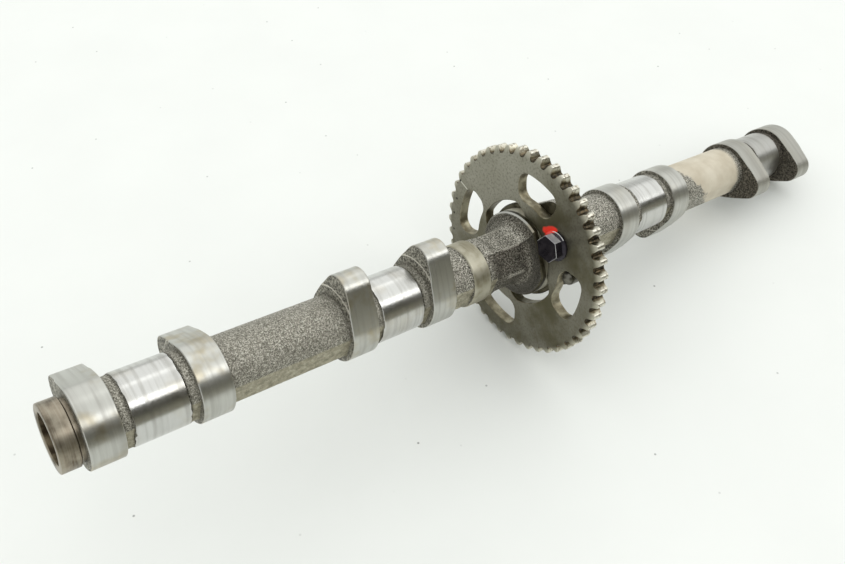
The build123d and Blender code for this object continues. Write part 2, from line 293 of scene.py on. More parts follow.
def cast_iron_skin():
    """Cast iron as it left the sand: dull grey with fine light and dark grain, brown painted
    shade on the hexagon's lower flats, smooth tan metal where the mould's parting line was
    trimmed off, and a coat of beige paint between the sixth and seventh cams."""
    material, tree, point = surface("sand_cast_iron_skin")
    x, _, z = add(tree, "SeparateXYZ", {0: point}).node.outputs
    off_axis = from_axis(tree, point)
    off_hub = (apart(tree, x, HUB_MIDDLE), HUB_REACH, HUB_REACH + 0.5)
    on_hub = (x, 0.0, 1.0)
    before_far_bay = (x, FAR_BAY[0] + 1.2, FAR_BAY[0] + 2.2)

    # sand grains are 0.2 mm; drawn 0.6 mm and 0.3 mm wide so that they show
    coarse = add(tree, "TexNoise", {"Vector": point, "Scale": 1.65, "Detail": 2.0,
                                    "Roughness": 0.6})
    fine = add(tree, "TexNoise", {"Vector": point, "Scale": 3.3, "Detail": 1.0})
    grain = add(tree, "Mix", {0: 0.4, 2: coarse, 3: fine})
    skin = add(tree, "ValToRGB", {0: grain}, stops=[
        (0.38, "#36342B"), (0.63, "#D9D6CB"), (0.46, "#76736A"), (0.54, "#9F9C91")])
    # the bar next to the open end is the most even
    even = within(tree, 0.35, (x, 30.0, 60.0), (off_axis, CAM_FOOT_R + 0.6, CAM_FOOT_R))
    skin = add(tree, "Mix", {0: even, 6: skin, 7: "#8D8A7E"}, **BLEND)

    # the cams' sides are coarser, in lumps of several grains 0.9 mm wide
    side = within(tree, 0.65, (off_axis, CAM_FOOT_R, CAM_FOOT_R + 0.6), off_hub)
    lumps = add(tree, "TexNoise", {"Vector": point, "Scale": 1.1, "Detail": 3.0})
    lumps = add(tree, "ValToRGB", {0: lumps}, stops=[(0.38, "#BDB9AB"), (0.57, "#2F2C23")])
    skin = add(tree, "Mix", {0: side, 6: skin, 7: lumps}, **BLEND)

    # painted shade darkens the skin under the hexagon, at the hub's foot and on its rim by the
    # sprocket; old oil darkens it from the seventh cam on to the closed end; both in clouds 8
    # mm wide
    stain = add(tree, "TexNoise", {"Vector": point, "Scale": 0.12, "Detail": 4.0})
    under_hexagon = ((toward(tree, point, HEX_ANGLE + 90), 0.35, -0.35), (x, 25.0, 23.0),
                     on_hub)
    dark = within(tree, 0.6, *under_hexagon)
    for share, *limits in ((0.75, (x, FAR_BAY[1] + 0.25, FAR_BAY[1] - 0.05)),
                           (0.55, (x, 6.0, 2.5), on_hub)):
        dark = add(tree, "Math", {0: dark, 1: within(tree, share, *limits)}, **LARGER)
    brown = add(tree, "Mix", {0: stain, 6: "#6E695D", 7: "#786A5E"}, **BLEND)
    skin = add(tree, "Mix", {0: dark, 6: skin, 7: brown}, blend_type="MULTIPLY", **BLEND)
    # painted shade, darker still, on the lower side of the bell
    lower_bell_shade = within(tree, 0.7, (off_axis, 12.4, 13.6), *under_hexagon)
    skin = add(tree, "Mix", {0: lower_bell_shade, 6: skin, 7: "#504D46"}, **BLEND)

    # the parting line's two flats, trimmed by hand in strokes 2 mm wide
    reach = apart(tree, toward(tree, point, PARTING_ANGLE), 0.0)
    trimmed = within(tree, 0.8, (reach, FLAT_R - 0.45, FLAT_R - 0.12),
                     (reach, FLAT_R + 0.3, FLAT_R + 0.12),
                     (off_axis, NECK_R + 0.5, NECK_R + 0.3), off_hub, before_far_bay)
    stroke = add(tree, "TexNoise", {"Vector": point, "Scale": 0.5, "Detail": 4.0})
    bright = add(tree, "ValToRGB", {0: stroke}, stops=[(0.3, "#78735D"), (0.7, "#B9B39D")])
    colour = add(tree, "Mix", {0: trimmed, 6: skin, 7: bright}, **BLEND)
    # painted shade in the corners: darker near both ends of every cast stretch and at the foot
    # of the cams' sides
    corner_shade = add(tree, "Math", {0: add(tree, "Attribute", out="Fac", attribute_name="corner_shade"),
                              1: 0.5}, **TIMES)
    colour = add(tree, "Mix", {0: corner_shade, 6: colour, 7: "#625B4A"}, blend_type="MULTIPLY",
                 **BLEND)

    # a painted highlight runs along the edge of the lip on the cams' sides, and, in spots,
    # along the hexagon's edges, the lower of them trimmed
    lip = within(tree, 0.9, (apart(tree, off_axis, LIP_R), 0.3, 0.12), off_hub,
                 before_far_bay)
    edge = add(tree, "Math", {
        0: within(tree, 0.8, (off_axis, 11.7, 12.0)),
        1: within(tree, 0.8, (toward(tree, point, HEX_ANGLE - 60), 11.3, 11.5))}, **LARGER)
    edge = within(tree, edge, (x, 5.5, 7.0), (x, HEX_END - 1, HEX_END - 3),
                  (fine, 0.42, 0.52))
    wear_and_highlight = add(tree, "Math", {0: lip, 1: edge}, **LARGER)
    colour = add(tree, "Mix", {0: wear_and_highlight, 6: colour, 7: "#D6D2C6"}, **BLEND)

    # the paint begins aslant and ragged past the sixth cam, and ends before the seventh
    ragged = add(tree, "Math", {0: stroke, 1: 12.0, 2: x}, **TIMES_PLUS)
    slant = add(tree, "Math", {0: z, 1: -0.9, 2: ragged}, **TIMES_PLUS)
    painted = within(tree, 1.0, (slant, FAR_BAY[0] - 3.8, FAR_BAY[0] - 6.3),
                     (off_axis, TUBE_R + 0.65, TUBE_R + 0.45),
                     (x, FAR_BAY[1] + 1.65, FAR_BAY[1] + 5.15))
    paint = add(tree, "ValToRGB", {0: stain}, stops=[(0.35, "#B5AB97"), (0.65, "#C6BEAC")])
    colour = add(tree, "Mix", {0: painted, 6: colour, 7: paint}, **BLEND)

    smooth = add(tree, "Math", {0: trimmed, 1: painted}, **LARGER)
    bare = add(tree, "Math", {0: 1.0, 1: smooth}, operation="SUBTRACT")
    shader = add(tree, "BsdfPrincipled", {
        "Base Color": colour,
        "Metallic": add(tree, "MapRange", {0: painted, 3: 0.7, 4: 0.0}),
        "Roughness": add(tree, "MapRange", {0: grain, 1: 0.4, 2: 0.62, 3: 0.62, 4: 0.46}),
        "Normal": add(tree, "Bump", {"Height": add(tree, "Math", {0: grain, 1: bare}, **TIMES),
                                     "Distance": 0.3 * MM})})
    add(tree, "OutputMaterial", {"Surface": shader})
    return material


def turned_iron(name, light, dark, rough):
    """Cast iron, turned and oiled: olive to tan, with fine lines round the shaft."""
    material, tree, point = surface(name)
    # tool marks are 0.1 mm apart; drawn 0.6 mm apart so that they show
    marks = add(tree, "TexNoise", {"Vector": round_lines(tree, point), "Scale": 1.7,
                                   "Detail": 3.0, "Roughness": 0.6})
    # oil stains 8 mm wide
    cloud = add(tree, "TexNoise", {"Vector": point, "Scale": 0.12, "Detail": 4.0})
    stain = within(tree, 1.0, (cloud, 0.4, 0.65))
    base = add(tree, "Mix", {0: stain, 6: light, 7: dark}, **BLEND)
    lined = within(tree, 0.3, (marks, 0.35, 0.65))
    shader = add(tree, "BsdfPrincipled", {
        "Base Color": add(tree, "Mix", {0: lined, 6: base, 7: "#C2BEAE"}, **BLEND),
        "Metallic": 1.0,
        "Roughness": add(tree, "MapRange", {0: marks, 1: 0.3, 2: 0.7, 3: rough,
                                            4: rough + 0.12}),
        "Normal": add(tree, "Bump", {"Height": marks, "Distance": 0.01 * MM})})
    add(tree, "OutputMaterial", {"Surface": shader})
    return material


def oily_iron(name, light, dark, rough, bare=0.9):
    """Iron under a film of old oil: half glossy, with soft clouds.  bare is the share of
    it that shines as metal."""
    material, tree, point = surface(name)
    # the film gathers in clouds 4 mm wide
    cloud = add(tree, "TexNoise", {"Vector": point, "Scale": 0.25, "Detail": 4.0})
    share = within(tree, 1.0, (cloud, 0.35, 0.65))
    shader = add(tree, "BsdfPrincipled", {
        "Base Color": add(tree, "Mix", {0: share, 6: light, 7: dark}, **BLEND),
        "Metallic": bare, "Roughness": rough,
        "Normal": add(tree, "Bump", {"Height": cloud, "Distance": 0.025 * MM})})
    add(tree, "OutputMaterial", {"Surface": shader})
    return material


def sprocket_steel():
    """Blanked steel, hardened and tumbled: satin grey-olive with faint clouds of oil, a
    timing line and punch dots near its rim, and a daub of red paint by the first bolt."""
    material, tree, point = surface("hardened_sprocket_steel")
    x, _, z = add(tree, "SeparateXYZ", {0: point}).node.outputs
    # oil in clouds 18 mm wide; tumbling pits are 0.1 mm, drawn 1 mm wide so that they show
    cloud = add(tree, "TexNoise", {"Vector": point, "Scale": 0.055, "Detail": 4.0,
                                   "Roughness": 0.6})
    speck = add(tree, "TexNoise", {"Vector": point, "Scale": 1.0, "Detail": 3.0})
    colour = "#7A776B"
    for share, other in ((within(tree, 1.0, (cloud, 0.35, 0.7)), "#58543F"),    # oil
                         (within(tree, 0.6, (z, 8.0, 40.0)), "#A19F92"),        # lighter towards its upper side
                         (within(tree, 0.5, (speck, 0.45, 0.7)), "#595547"),    # pits
                         (within(tree, 0.8, (from_axis(tree, point), ROOT_R - 0.3, TIP_R)),
                          "#C4C0AE")):                                          # rubbed
        colour = add(tree, "Mix", {0: share, 6: colour, 7: other}, **BLEND)

    front = (x, -0.6, -0.4)
    out = toward(tree, point, TIMING_ANGLE)
    aside = apart(tree, toward(tree, point, TIMING_ANGLE + 90), 0.0)
    line = within(tree, 1.0, (aside, 0.32, 0.18), front,
                  (out, TIMING_LINE[0] - 0.2, TIMING_LINE[0] + 0.2),
                  (out, TIMING_LINE[1] + 0.2, TIMING_LINE[1] - 0.2))
    colour = add(tree, "Mix", {0: line, 6: colour, 7: "#C9C8BC"}, **BLEND)
    dents = 0.0
    for angle, radius in PUNCH_DOTS:
        dot = mark(tree, point, (0.0, *polar(radius, angle)), 0.35, 0.75)
        dents = add(tree, "Math", {0: dents, 1: dot}, **LARGER)
    dents = within(tree, dents, front)
    colour = add(tree, "Mix", {0: dents, 6: colour, 7: "#2C2A24"}, **BLEND)
    colour, daub = red_paint(tree, point, colour)
    shader = add(tree, "BsdfPrincipled", {
        "Base Color": colour,
        "Metallic": add(tree, "MapRange", {0: daub, 3: 0.9, 4: 0.0}),
        "Roughness": add(tree, "MapRange", {0: cloud, 1: 0.3, 2: 0.7, 3: 0.36, 4: 0.48}),
        "Normal": add(tree, "Bump", {"Height": speck, "Distance": 0.02 * MM})})
    add(tree, "OutputMaterial", {"Surface": shader})
    return material


def worn_teeth():
    """Hardened steel polished by the chain: bright tips and flanks, darkening down into the
    gaps as painted shade.
    """
    material, tree, point = surface("chain_worn_steel")
    # the polish ends unevenly, in patches 2 mm wide
    patch = add(tree, "TexNoise", {"Vector": point, "Scale": 0.45, "Detail": 3.0})
    height = add(tree, "Math", {0: patch, 1: 2.2, 2: from_axis(tree, point)}, **TIMES_PLUS)
    share = add(tree, "MapRange", {0: height, 1: ROOT_R + 0.9, 2: TIP_R + 1.0})
    # near black deep in the gaps is painted shade; bright at the tips is the chain's polish
    colour = add(tree, "ValToRGB", {0: share}, stops=[
        (0.0, "#2B2821"), (1.0, "#DAD7CA"), (0.3, "#655D4B"), (0.55, "#AFAB99")])
    # old oil, baked brown in blots 1 mm wide
    blot = add(tree, "TexNoise", {"Vector": point, "Scale": 0.9, "Detail": 3.0})
    baked = within(tree, 0.7, (blot, 0.5, 0.66))
    colour = add(tree, "Mix", {0: baked, 6: colour, 7: "#6A5B46"}, **BLEND)
    shader = add(tree, "BsdfPrincipled",
                 {"Base Color": colour, "Metallic": 1.0, "Roughness": 0.32,
                  "Normal": add(tree, "Bump", {"Height": patch, "Distance": 0.15 * MM})})
    add(tree, "OutputMaterial", {"Surface": shader})
    return material


def black_oxide_steel():
    """Black-oxide steel: near black with a purple cast, half glossy, red paint on top."""
    material, tree, point = surface("black_oxide_bolt_steel")
    # handling dulls it in clouds 3 mm wide
    cloud = add(tree, "TexNoise", {"Vector": point, "Scale": 0.33, "Detail": 3.0})
    dull = within(tree, 1.0, (cloud, 0.4, 0.7))
    base = add(tree, "Mix", {0: dull, 6: "#2B282F", 7: "#3D393F"}, **BLEND)
    colour, daub = red_paint(tree, point, base)
    shader = add(tree, "BsdfPrincipled", {
        "Base Color": colour,
        "Metallic": add(tree, "MapRange", {0: daub, 3: 0.7, 4: 0.0}),
        "Roughness": add(tree, "MapRange", {0: cloud, 1: 0.3, 2: 0.7, 3: 0.24, 4: 0.36}),
        "Normal": add(tree, "Bump", {"Height": cloud, "Distance": 0.02 * MM})})
    add(tree, "OutputMaterial", {"Surface": shader})
    return material


def painted_board():
    """White paint on board, brushed and scuffed: faint clouds and a few small specks."""
    material, tree, point = surface("pale_painted_board")
    # the brush left clouds 50 mm wide
    cloud = add(tree, "TexNoise", {"Vector": point, "Scale": 0.02, "Detail": 4.0})
    base = add(tree, "ValToRGB", {0: cloud}, stops=[(0.35, "#E0E2DF"), (0.65, "#E2E4E1")])
    flat = add(tree, "VectorMath", {0: add(tree, "TexCoord", out="Object"), 3: 1 / MM},
               operation="SCALE")
    # one speck about 1 mm wide on every 36 mm, most of them too faint to see
    away = add(tree, "TexVoronoi", {"Vector": flat, "Scale": 1 / 36},
               voronoi_dimensions="2D")
    chance = add(tree, "SeparateColor", {0: away.node.outputs["Color"]})
    strength = add(tree, "MapRange", {0: chance, 1: 0.55, 2: 1.0, 4: 0.7})
    speck = within(tree, strength, (away, 0.018, 0.008))
    shader = add(tree, "BsdfPrincipled", {
        "Base Color": add(tree, "Mix", {0: speck, 6: base, 7: "#5B5C58"}, **BLEND),
        "Roughness": 0.6, "Specular IOR Level": 0.3})
    add(tree, "OutputMaterial", {"Surface": shader})
    return material


def dark_reflection_card():
    """Colour of the card beside the bench, a stand-in for the room's dark side that shows only
    as a painted dark reflection on metal: without any gloss, and paler lower down.
    """
    material, tree, _ = surface("painted_dark_reflection")
    place = add(tree, "SeparateXYZ", {0: add(tree, "TexCoord", out="Object")}, out=2)
    high = within(tree, 1.0, (place, 0.04, 0.24))
    shader = add(tree, "BsdfPrincipled", {
        "Base Color": add(tree, "Mix", {0: high, 6: "#918E80", 7: "#4C4A42"}, **BLEND),
        "Roughness": 1.0, "Specular IOR Level": 0.0})
    add(tree, "OutputMaterial", {"Surface": shader})
    return material


# ------------------------------------------------------------------ meshes
AROUND = 168                # points on each ring of the casting
casting_angles = HEX_ANGLE + np.arange(AROUND) * 360 / AROUND


def bring_in(name, data):
    """Puts a new object into the scene."""
    thing = bpy.data.objects.new(name, data)
    bpy.context.scene.collection.objects.link(thing)
    return thing


def lay_piece(name, verts, faces, zones, materials):
    """Makes one piece from points in mm and puts it where the shaft lies."""
    mesh = bpy.data.meshes.new(name)
    mesh.from_pydata([tuple(v) for v in np.asarray(verts, float) * MM], [], faces)
    mesh.transform(SHAFT)
    for material in materials:
        mesh.materials.append(material)
    mesh.polygons.foreach_set("material_index", zones)
    mesh.polygons.foreach_set("use_smooth", [True] * len(faces))
    mesh.set_sharp_from_angle(angle=math.radians(32))       # bevels stay crisp
    mesh.validate()
    piece = bring_in(name, mesh)
    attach(piece, "root")
    return piece


def skinned(rings, angles, centre=(0.0, 0.0)):
    """Points and faces of a skin over rings, whose x and radius are each one number or one
    for every angle.  The first and last rings are filled.  The faces look outwards where
    the rings go on towards the shaft's open end."""
    turn, around = np.radians(angles), len(angles)
    verts = [np.stack(np.broadcast_arrays(x, centre[0] + r * np.cos(turn),
                                          centre[1] + r * np.sin(turn)), 1) for x, r in rings]
    faces = []
    last = (len(rings) - 1) * around
    for before in range(0, last, around):
        here = before + around
        for i in range(around):
            j = (i + 1) % around
            faces.append((before + i, before + j, here + j, here + i))
    faces += [tuple(range(around))[::-1], tuple(range(last, last + around))]
    return np.concatenate(verts), faces


def wrapped(angle, period=360.0):
    """The angle brought to within half a period of 0."""
    return (np.asarray(angle) + period / 2) % period - period / 2


def cast_radius(radius, angles):
    """Round cast bar with the parting line trimmed to two flats."""
    across = np.abs(np.cos(np.radians(angles - PARTING_ANGLE)))
    return np.minimum(radius, FLAT_R / np.maximum(across, 1e-6))


def cam_radius(angles, nose):
    """Distance from the shaft's centre to a cam's running face."""
    nose_at = BASE_R + CAM_LIFT - CAM_NOSE_R
    to_base, to_nose = CAM_FLANK_R - BASE_R, CAM_FLANK_R - CAM_NOSE_R
    # the flank's centre, and where the flank meets the base circle and the nose
    cx = (to_base ** 2 - to_nose ** 2 + nose_at ** 2) / (2 * nose_at)
    cy = -math.sqrt(to_base ** 2 - cx ** 2)
    base_from = math.atan2(-cy, -cx)
    along_nose = math.atan2(-cy, nose_at - cx)
    touch = (cx + CAM_FLANK_R * math.cos(along_nose), cy + CAM_FLANK_R * math.sin(along_nose))
    nose_to = math.atan2(touch[1], touch[0])
    theta = np.abs(np.radians(wrapped(angles - nose)))
    lead = cx * np.cos(theta) + cy * np.sin(theta)
    flank = lead + np.sqrt(np.maximum(lead ** 2 - to_base ** 2 + CAM_FLANK_R ** 2, 0))
    tip = nose_at * np.cos(theta) + np.sqrt(
        np.maximum(CAM_NOSE_R ** 2 - (nose_at * np.sin(theta)) ** 2, 0))
    return np.where(theta > base_from, BASE_R, np.where(theta > nose_to, flank, tip))


def hexagon_radius(angles, flat_r, corner_at):
    """Distance from its middle to a hexagon with a corner at the given angle."""
    return flat_r / np.cos(np.radians(wrapped(angles - corner_at - 30, 60)))


def flange_radius(angles):
    """Flange disc with its wide ear and its small round one, found by trying radii."""
    turn = np.radians(angles - BOLT_ANGLE)
    low, high = np.zeros(len(angles)), np.full(len(angles), 60.0)
    for _ in range(30):
        r = (low + high) / 2
        a, b = r * np.cos(turn), np.abs(r * np.sin(turn))
        over_a = a - (EAR_REACH - EAR_CORNER_R)
        over_b = b - (EAR_HALF_W - EAR_CORNER_R)
        outside = np.hypot(np.maximum(over_a, 0), np.maximum(over_b, 0)) - EAR_CORNER_R
        wide = (a >= 0) & (outside <= 0)
        small = (a <= 0) & ((b <= SMALL_EAR_R) & (a >= -BOLT_CIRCLE_R)
                            | (np.hypot(a + BOLT_CIRCLE_R, b) <= SMALL_EAR_R))
        inside = (r <= FLANGE_R) | wide | small
        low, high = np.where(inside, r, low), np.where(inside, high, r)
    return low


def sand_grain(x, r, depth, size=0.9):
    """Lumps of the sand mould at the points of a ring, each about size mm wide and up to
    depth high or low."""
    x = np.broadcast_to(x, r.shape)
    turn = np.radians(casting_angles)
    points = zip(x / size, r * np.cos(turn) / size, r * np.sin(turn) / size)
    # and finer lumps, half as high, between them
    return depth * np.array([noise.noise(Vector(p)) + 0.5 * noise.noise(Vector(p) * 2.3)
                             for p in points])


class Casting:
    """Rings from one end of the casting to the other, skinned into one closed mesh."""
    ZONES = ("skin", "journal", "cam", "turned", "boss", "bore", "flange")

    def __init__(self):
        self.rings, self.zones, self.corner_shade = [], [], []

    def ring(self, x, r, zone, corner_shade=0.0):
        """Adds a ring; zone is the finish of the band between the last ring and this one,
        and corner_shade, 0 to 1, how much painted shade darkens it near a corner."""
        x = np.broadcast_to(np.asarray(x, float), (AROUND,))
        r = np.broadcast_to(np.asarray(r, float), (AROUND,))
        self.rings.append((x, r))
        self.zones.append([self.ZONES.index(z) for z in np.broadcast_to(zone, (AROUND,))])
        self.corner_shade.append(np.broadcast_to(np.asarray(corner_shade, float), (AROUND,)))

    def cast_bar(self, x_from, x_to, radius, depth=0.1, step=0.6, fillet=0.5):
        """A cast stretch with a small fillet at both ends.  radius is the rings' radius,
        or gives it for a place along the shaft."""
        count = max(2, round(abs(x_to - x_from) / step))
        for k in range(count + 1):
            x = x_from + (x_to - x_from) * k / count
            r = radius(x) if callable(radius) else radius
            # the trimmed flats are smooth
            flat = np.abs(r * np.cos(np.radians(casting_angles - PARTING_ANGLE)))
            rough = np.clip((FLAT_R - flat) / 0.3, 0.1, 1)
            end = min(abs(x - x_from), abs(x - x_to))
            corner = FILLET_H * max(0, 1 - end / fillet) ** 2
            lumps = sand_grain(x, r, depth) * rough
            self.ring(x, r + lumps + corner, "skin", max(0.0, 1 - end / CORNER_SHADE) ** 1.5)

    def cast_side(self, x, r_from, r_to, way, back):
        """Rough side of a cam; way is +1 if it faces the open end.  Past LIP_R it stands
        back by the given depths."""
        for share in np.arange(1, 9) / 9:
            r = r_from + (r_to - r_from) * share
            past_lip = np.clip((r - LIP_R) / 0.2 + 0.5, 0, 1)
            height = r - np.minimum(r_from, r_to)
            self.ring(x + sand_grain(x, r, 0.08) - way * back * past_lip, r, "skin",
                      np.clip(1 - height / CORNER_SHADE, 0, 1) ** 1.5)


def cam_rings(casting, x_near, x_far, nose, neck_near, neck_far):
    """One cam: rough side, bevel, ground running face, bevel, rough side."""
    outer = cam_radius(casting_angles, nose)
    rim = outer - CAM_BEVEL
    back = LIP_BACK * np.clip(outer - LIP_R, 0, 1)
    casting.cast_side(x_near, neck_near, rim, 1, back)
    casting.ring(x_near - back, rim, "skin")
    casting.ring(x_near - back - CAM_BEVEL, outer, "cam")
    casting.ring((x_near + x_far) / 2, outer, "cam")
    casting.ring(x_far + back + CAM_BEVEL, outer, "cam")
    casting.ring(x_far + back, rim, "cam")
    casting.cast_side(x_far, rim, neck_far, -1, back)


def casting_mesh(materials):
    """The whole casting, ring by ring from the bottom of its bore to its closed end."""
    casting = Casting()
    angles = casting_angles
    neck = cast_radius(NECK_R, angles)
    tube = cast_radius(TUBE_R, angles)
    half = CYLINDER_LEN / 2
    open_end = CYLINDERS[0] + half + BOSS_LEN
    closed_end = CYLINDERS[3] - half - STUB_LEN
    noses = dict(zip(FIRING_ORDER, FIRING_NOSES))

    # bore, from its drilled bottom out to the open end, in a few lengths
    bottom = closed_end + END_WALL
    casting.ring(bottom, 0.01, "bore")
    for x in (bottom + DRILL_TIP_LEN, bottom + 40, open_end - 40, open_end - 12,
              open_end - EDGE):
        casting.ring(x, BORE_R, "bore")
    # boss and the groove behind it
    groove = CYLINDERS[0] + half + UNDERCUT_LEN
    for x, r in ((open_end, BORE_R + EDGE), (open_end, BOSS_R - EDGE),
                 (open_end - EDGE * 0.3, BOSS_R - EDGE * 0.3), (open_end - EDGE, BOSS_R),
                 (groove + 0.3, BOSS_R), (groove, BOSS_R - 0.3), (groove - 0.2, UNDERCUT_R),
                 (groove - UNDERCUT_LEN, UNDERCUT_R)):
        casting.ring(x, r, "boss")

    for number, middle in enumerate(CYLINDERS, start=1):
        nose = noses[number]
        first, last = middle + half, middle - half
        near_r = {1: np.full(AROUND, UNDERCUT_R), 4: tube}.get(number, neck)
        far_r = {2: neck, 4: np.full(AROUND, STUB_R)}.get(number, tube)
        cam_rings(casting, first, first - CAM_W, nose, near_r, neck)
        near, far = middle + JOURNAL_LEN / 2, middle - JOURNAL_LEN / 2
        casting.cast_bar(first - CAM_W, near, neck, step=0.45, fillet=0.4)
        ragged = sand_grain(near, neck, 0.3, size=2.0)
        casting.ring(near + ragged, JOURNAL_R - EDGE, "skin")
        casting.ring(near - EDGE + ragged, JOURNAL_R, "journal")
        casting.ring(far + EDGE + ragged, JOURNAL_R, "journal")
        casting.ring(far + ragged, JOURNAL_R - EDGE, "journal")
        casting.cast_bar(far, last + CAM_W, neck, step=0.45, fillet=0.4)
        cam_rings(casting, last + CAM_W, last, nose, neck, far_r)
        if number in (1, 3):
            casting.cast_bar(last, CYLINDERS[number] + half, tube)
        elif number == 2:
            drive_rings(casting, last, CYLINDERS[2] + half)
    # closed end
    for x, r in ((closed_end + 0.5, STUB_R), (closed_end, STUB_R - 0.5), (closed_end, 0.01)):
        casting.ring(x, r, "turned")

    # the rings go to the open end inside and come back outside, so the faces are turned
    verts, faces = skinned(casting.rings, angles)
    faces = [(face[0], *face[:0:-1]) for face in faces]
    zones = [zone for band in casting.zones[1:] for zone in band]
    zones += [casting.zones[1][0], casting.zones[-1][0]]
    piece = lay_piece("camshaft_casting", verts, faces, zones, materials)
    piece.data.attributes.new("corner_shade", "FLOAT", "POINT").data.foreach_set(
        "value", np.concatenate(casting.corner_shade))
    return piece


def bell_radius(x, hexagon, flare_len):
    """Cove from the hexagon up to the register; the hexagon's edges run out on it."""
    end = REGISTER_PROUD + REGISTER_CHAMFER + flare_len
    up = np.clip((end - x) / flare_len, 0, 1)
    rise = REGISTER_R - REGISTER_CHAMFER - HEX_FLAT_R
    r = HEX_FLAT_R + rise * (1 - np.sqrt(1 - up ** 2))
    return np.maximum(hexagon, r * (1 + (1 - up) ** 2 * (hexagon / HEX_FLAT_R - 1)))


def drive_rings(casting, x_from, x_to):
    """Neck, collar, neck, hexagon with its bell, register, flange and the last neck."""
    angles = casting_angles
    neck = cast_radius(NECK_R, angles)
    hexagon = hexagon_radius(angles, HEX_FLAT_R, HEX_ANGLE)
    beside_bolts = HUB_FLAT_R / np.maximum(
        np.abs(np.cos(np.radians(angles - HEX_ANGLE + 30))), 0.01)
    # which flat a point is on: 0 for the two that face the bolts, then 1 and 2 in turn
    flat = np.round(angles - HEX_ANGLE + 60, 6) % 180 // 60
    flare_len = np.choose(flat.astype(int), FLARE_LENS)
    collar_end = COLLAR_AT + COLLAR_W
    casting.cast_bar(x_from, collar_end, neck)
    casting.ring(collar_end, COLLAR_R - EDGE, "skin")
    casting.ring(collar_end - EDGE, COLLAR_R, "turned")
    casting.ring(COLLAR_AT + EDGE, COLLAR_R, "turned")
    casting.ring(COLLAR_AT, COLLAR_R - EDGE, "turned")

    def shank(x):
        runout = HEX_FLAT_R + (NECK_R - HEX_FLAT_R) * np.clip((x - HEX_END) / HEX_RUNOUT, 0, 1)
        if x > REGISTER_PROUD + REGISTER_CHAMFER + max(FLARE_LENS):
            return np.minimum(neck, np.maximum(hexagon, runout))
        return np.minimum(bell_radius(x, np.minimum(hexagon, neck), flare_len), beside_bolts)

    # the cove ends 0.1 mm short of the register's bevel, on every side
    front = REGISTER_PROUD
    casting.cast_bar(COLLAR_AT, front + REGISTER_CHAMFER + 0.1, shank, depth=0.06, step=0.45)
    rim = np.minimum(REGISTER_R, beside_bolts)
    casting.ring(front + REGISTER_CHAMFER, rim - REGISTER_CHAMFER - 0.1, "skin")
    # the register's edge has a painted highlight on its upper half, in the ground cams'
    # finish, and the flange's dark finish below
    above = np.abs(wrapped(angles - HEX_ANGLE - 90)) < 90
    wear_and_highlight = np.where(above, "cam", "flange")
    casting.ring(front, rim - REGISTER_HIGHLIGHT_W, wear_and_highlight)
    casting.ring(front - REGISTER_HIGHLIGHT_W, rim, wear_and_highlight)
    # the register's side, in front of the plate, takes the flange's dark finish, as painted
    # shade
    casting.ring(0.05, rim, "flange")
    casting.ring(0.0, REGISTER_R, "turned")
    casting.ring(-WEB_T, REGISTER_R, "turned")
    plate = flange_radius(angles)
    back = -WEB_T - FLANGE_T
    casting.ring(-WEB_T, plate - FLANGE_BEVEL, "flange")
    casting.ring(-WEB_T - FLANGE_BEVEL, plate, "flange")
    casting.ring(back + FLANGE_BEVEL, plate, "skin")
    casting.ring(back, plate - FLANGE_BEVEL, "skin")
    for share in np.arange(1, 7) / 7:
        r = plate - FLANGE_BEVEL + (neck - plate + FLANGE_BEVEL) * share
        casting.ring(back + sand_grain(back, r, 0.08), r, "skin")
    casting.cast_bar(back, x_to, neck)


# ---- sprocket: a plate between closed outlines ----
def circle(centre, radius, count):
    """Points round a circle."""
    turn = np.radians(np.arange(count) * 360 / count)
    return np.stack([centre[0] + radius * np.cos(turn), centre[1] + radius * np.sin(turn)], 1)


def polar(radius, angle):
    """The point at a radius and an angle."""
    turn = math.radians(angle)
    return np.array([radius * math.cos(turn), radius * math.sin(turn)])


def arc(centre, radius, start, end, count):
    """Points along an arc, both ends included."""
    turn = np.radians(np.linspace(start, end, count))
    return [centre + radius * np.array([math.cos(t), math.sin(t)]) for t in turn]


# half a tooth gap and half a tooth, as (share of the pitch, radius)
HALF_TOOTH = [(0.06, ROOT_R), (0.12, ROOT_R + 0.1), (0.17, ROOT_R + 0.38),
              (0.215, ROOT_R + 0.9), (0.30, TIP_R - 0.75), (0.335, TIP_R - 0.35),
              (0.38, TIP_R - 0.1), (0.44, TIP_R)]
NOTCH_AT = polar(WINDOW_IN_R + NOTCH_IN,
                 BOLT_ANGLE - WINDOW_ANGLE + WINDOW_HALF_ANGLE - NOTCH_ANGLE)


def tooth_loop():
    """All teeth: round gap floors, straight flanks, rounded tips."""
    pitch = 360 / TEETH
    gap = [(-share, radius) for share, radius in reversed(HALF_TOOTH)] + HALF_TOOTH
    return np.array([polar(radius, GAP_ANGLE + k * pitch + share * pitch)
                     for k in range(TEETH) for share, radius in gap])


def window_loop(middle, notch=None):
    """Ring sector with round corners, and a round pin notch at one end if asked for."""
    c = WINDOW_CORNER_R
    half, centre = WINDOW_HALF_ANGLE, np.zeros(2)
    out = half - math.degrees(math.asin(c / (WINDOW_OUT_R - c)))
    into = half - math.degrees(math.asin(c / (WINDOW_IN_R + c)))
    # corner, corner, inner side, corner, corner, outer side
    loop = np.array(
        arc(polar(WINDOW_OUT_R - c, middle + out), c, middle + out, middle + half + 90, 10)
        + arc(polar(WINDOW_IN_R + c, middle + into), c, middle + half + 90,
              middle + into + 180, 10)
        + arc(centre, WINDOW_IN_R, middle + into, middle - into, 12)[1:-1]
        + arc(polar(WINDOW_IN_R + c, middle - into), c, middle - into + 180,
              middle - half + 270, 10)
        + arc(polar(WINDOW_OUT_R - c, middle - out), c, middle - half - 90, middle - out, 10)
        + arc(centre, WINDOW_OUT_R, middle - out, middle + out, 16)[1:-1])
    return loop if notch is None else notched(loop, notch, NOTCH_R)


